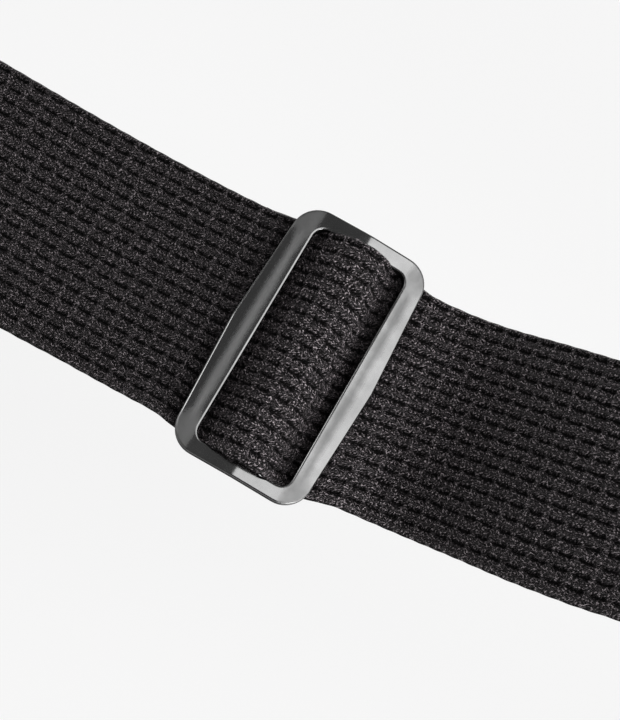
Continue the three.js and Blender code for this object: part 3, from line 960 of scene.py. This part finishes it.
def ply_object(name, high, low, side):
    """One ply: side is 1 where its outer face looks up and -1 where it looks down."""
    points, drops, edges = [], [], []

    def add_loop(loop, drop):
        start = len(points)
        points.extend(map(tuple, loop))
        drops.extend([drop] * len(loop))
        edges.extend((start + i, start + (i + 1) % len(loop)) for i in range(len(loop)))
        return range(start, start + len(loop))

    outer = add_loop(tab_outline(0), face_drop(0))
    for inset in LOOP_INSETS:
        add_loop(tab_outline(inset), face_drop(inset))
    hole = add_loop(button_hole(0), 0.35 * MM)
    add_loop(button_hole(0.15 * MM), 0.12 * MM)
    add_loop(button_hole(0.4 * MM), 0.02 * MM)
    for point in inner_points():
        points.append(point)
        drops.append(0.0)
    flat, _, faces, _, _, _ = geometry.delaunay_2d_cdt([Vector(p) for p in points], edges, [], 0, 1e-9)
    if len(flat) != len(points):
        raise ValueError(f"{name}: the outline's lines cross")
    xy = np.array(points)
    ring_hole = np.array([points[i] for i in hole])
    ring_outer = np.array([points[i] for i in outer])
    kept = [f for f in faces if keep_face(xy[list(f)].mean(axis=0), ring_outer, ring_hole)]
    middle = ply_middle(xy[:, 0], high, low)
    outer_face = middle + side * (PLY / 2 - np.array(drops))
    inner_face = middle - side * PLY / 2
    count = len(points)
    vertices = np.vstack([np.c_[xy, outer_face], np.c_[xy, inner_face]])
    turned = [tuple(reversed(f)) for f in kept]
    top, bottom = (kept, turned) if side > 0 else (turned, kept)
    all_faces = [tuple(f) for f in top] + [tuple(i + count for i in f) for f in bottom]
    for loop in (outer, hole):
        for i, a in enumerate(loop):
            b = loop[(i + 1) % len(loop)]
            all_faces.append((a, a + count, b + count, b))
    obj = new_object(name, vertices, all_faces)
    fix_normals(obj)
    return obj


def inside(point, ring):
    x, y = point
    a, b = ring, np.roll(ring, -1, axis=0)
    crosses = (a[:, 1] > y) != (b[:, 1] > y)
    with np.errstate(divide="ignore", invalid="ignore"):
        at = a[:, 0] + (y - a[:, 1]) / (b[:, 1] - a[:, 1]) * (b[:, 0] - a[:, 0])
    return np.count_nonzero(crosses & (x < at)) % 2 == 1


def keep_face(centre, outer, hole):
    return inside(centre, outer) and not inside(centre, hole)


def fix_normals(obj):
    work = bmesh.new()
    work.from_mesh(obj.data)
    bmesh.ops.recalc_face_normals(work, faces=work.faces)
    work.to_mesh(obj.data)
    work.free()


def stitch_rings(length, radius):
    """One stitch along +X on the plane z = 0, with its ends dipping below: rings of points."""
    stations, around = 9, 8
    t = np.linspace(-1, 1, stations)
    angle = np.linspace(0, 2 * np.pi, around, endpoint=False)
    swell = np.sqrt(np.clip(1 - (0.93 * t) ** 4, 0, 1))
    rings = np.empty((stations, around, 3))
    rings[..., 0] = (t * length / 2)[:, None]
    rings[..., 1] = -(radius * swell)[:, None] * np.cos(angle)
    lift = radius * (0.35 - 0.9 * np.abs(t) ** 3)
    rings[..., 2] = lift[:, None] + (radius * swell)[:, None] * np.sin(angle)
    return rings


def stitches(name, places, length, radius):
    """places holds (position, along, up) for each stitch."""
    pattern = stitch_rings(length, radius)
    stations, around = pattern.shape[:2]
    index = np.arange(stations * around).reshape(stations, around)
    pattern_faces = tube_faces(index[:-1], index[1:]) + [index[0][::-1].tolist(), index[-1].tolist()]
    vertices, faces = [], []
    for position, along, up in places:
        up = up - along * up.dot(along)
        up.normalize()
        basis = np.array([along, up.cross(along), up])
        base = len(vertices)
        vertices.extend((pattern.reshape(-1, 3) @ basis + np.array(position)).tolist())
        faces.extend([base + i for i in face] for face in pattern_faces)
    obj = new_object(name, vertices, faces)
    obj.data.materials.append(THREADS)
    return obj


def seam_places(high, low, side):
    line = tab_outline(SEAM_INSET, STITCH)
    ahead, behind = np.roll(line, -1, axis=0), np.roll(line, 1, axis=0)
    places = []
    for here, after, before in zip(line, ahead, behind):
        along2 = (after - before) / np.linalg.norm(after - before)
        step = 0.5 * MM
        z = ply_middle(here[0], high, low) + side * (PLY / 2 - GROOVE_DEPTH)
        slope = (ply_middle(here[0] + step, high, low) - ply_middle(here[0] - step, high, low)) / (2 * step)
        along = Vector((along2[0], along2[1], slope * along2[0])).normalized()
        up = Vector((-slope, 0, 1)).normalized() * side
        places.append((Vector((here[0], here[1], z)), along, up))
    return places


def place_tab(obj, edge_x, turned):
    turn = Matrix.Rotation(math.pi if turned else 0, 4, "Z")
    obj.data.transform(Matrix.Translation((edge_x, 0, 0)) @ turn)
    return obj


def make_tab(name, body, edge_x, turned, layers):
    back = PLY / 2
    closed = back + PLY + GAP
    opened = closed + layers * LAYER
    for face, high, low, side in (("front", opened, closed, 1), ("back", back, back, -1)):
        leather = place_tab(ply_object(f"{name}_{face}_leather", high, low, side), edge_x, turned)
        leather.data.materials.append(LEATHER)
        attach(leather, body)
        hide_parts(f"{name}_{face}")
        sewn = stitches(f"{name}_{face}_stitches", seam_places(high, low, side), STITCH_SHOWS, THREAD)
        place_tab(sewn, edge_x, turned)
        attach(sewn, body)
        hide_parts(f"{name}_{face}_thread")


make_tab("head_tab", "head_side", HEAD_EDGE_X, False, 1)
make_tab("tail_tab", "tail_tab", TAIL_EDGE_X, True, 2)


def bar_tack_places():
    """A dense zigzag across the webbing, on the underside of the returning layer."""
    low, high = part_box("bar_tack_thread")
    near = RUN[(RUN[:, 0] > low.x) & (RUN[:, 0] < high.x)]
    down = -normals(near)
    face = near + down * (2.5 * LAYER - GAP / 2 - 0.1 * MM)
    start, stop = face[0], face[-1]
    places = []
    for i in range(TACK_COUNT):
        y = low.y + (high.y - low.y) * (i + 0.5) / TACK_COUNT
        lean = 0.35 * MM * (1 if i % 2 else -1)
        along = Vector((stop[0] - start[0], lean, stop[1] - start[1])).normalized()
        middle = (start + stop) / 2
        places.append((Vector((middle[0], y, middle[1])), along, Vector((down[0][0], 0, down[0][1]))))
    return places


tack = stitches("bar_tack_stitches", bar_tack_places(), TACK_STITCH, THREAD)
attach(tack, "slider")
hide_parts("bar_tack_thread")

# ---- Floor, light and backdrop. The floor is far enough below for the tail tab to hang straight down. ----

FLOOR_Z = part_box("tail_tab_back")[0].x - FOLD_BAR_X - 10 * MM
FLOOR_GLOW = 0.80
HORIZON = 0.82  # as bright as the floor looks where it ends
OVERHEAD = 0.10


def make_floor():
    mesh = bpy.data.meshes.new("floor")
    half = 40.0
    corners = [(-half, -half, 0), (half, -half, 0), (half, half, 0), (-half, half, 0)]
    mesh.from_pydata(corners, [], [(0, 1, 2, 3)])
    floor = bpy.data.objects.new("floor", mesh)
    floor.location.z = FLOOR_Z
    bpy.context.scene.collection.objects.link(floor)
    made, _, _, shader = material("lit_pale_floor", Roughness=1.0)
    shader.inputs["Base Color"].default_value = (0.2, 0.2, 0.2, 1)
    shader.inputs["Specular IOR Level"].default_value = 0.0
    shader.inputs["Emission Color"].default_value = (1, 1, 1, 1)
    shader.inputs["Emission Strength"].default_value = FLOOR_GLOW
    mesh.materials.append(made)


def panel(name, place, target, size, radiance):
    """A soft box whose face has the given brightness, where white paper in full light has 1."""
    data = bpy.data.lights.new(name, "AREA")
    data.shape = "RECTANGLE"
    data.size, data.size_y = size
    data.energy = radiance * math.pi * size[0] * size[1]
    light = bpy.data.objects.new(name, data)
    bpy.context.scene.collection.objects.link(light)
    light.location = place
    light.rotation_mode = "QUATERNION"
    light.rotation_quaternion = (Vector(place) - Vector(target)).to_track_quat("Z", "Y")
    light.visible_camera = False


def make_world():
    """A studio that is dim overhead and as pale as the floor at the horizon."""
    world = bpy.data.worlds.new("studio")
    world.use_nodes = True
    nodes, links = world.node_tree.nodes, world.node_tree.links
    direction = nodes.new("ShaderNodeTexCoord")
    parts = nodes.new("ShaderNodeSeparateXYZ")
    links.new(direction.outputs["Generated"], parts.inputs[0])
    shade = ramp(nodes, links, parts.outputs["Z"], [(0.03, grey(HORIZON)), (0.15, grey(OVERHEAD))])
    links.new(shade, nodes["Background"].inputs["Color"])
    bpy.context.scene.world = world


def make_light():
    make_world()
    panel("key_panel", (0.84, 0.33, 1.2), (0.84, 0.33, 0), (1.6, 1.3), 1.78)
    panel("left_panel", (-0.72, 0.1, 0.74), (0, 0, 0), (0.30, 0.42), 2.6)
    panel("right_panel", (0.74, -0.55, 0.50), (0, 0, 0), (0.42, 0.42), 10.0)


make_floor()
make_light()
bpy.context.scene.view_settings.view_transform = "Standard"
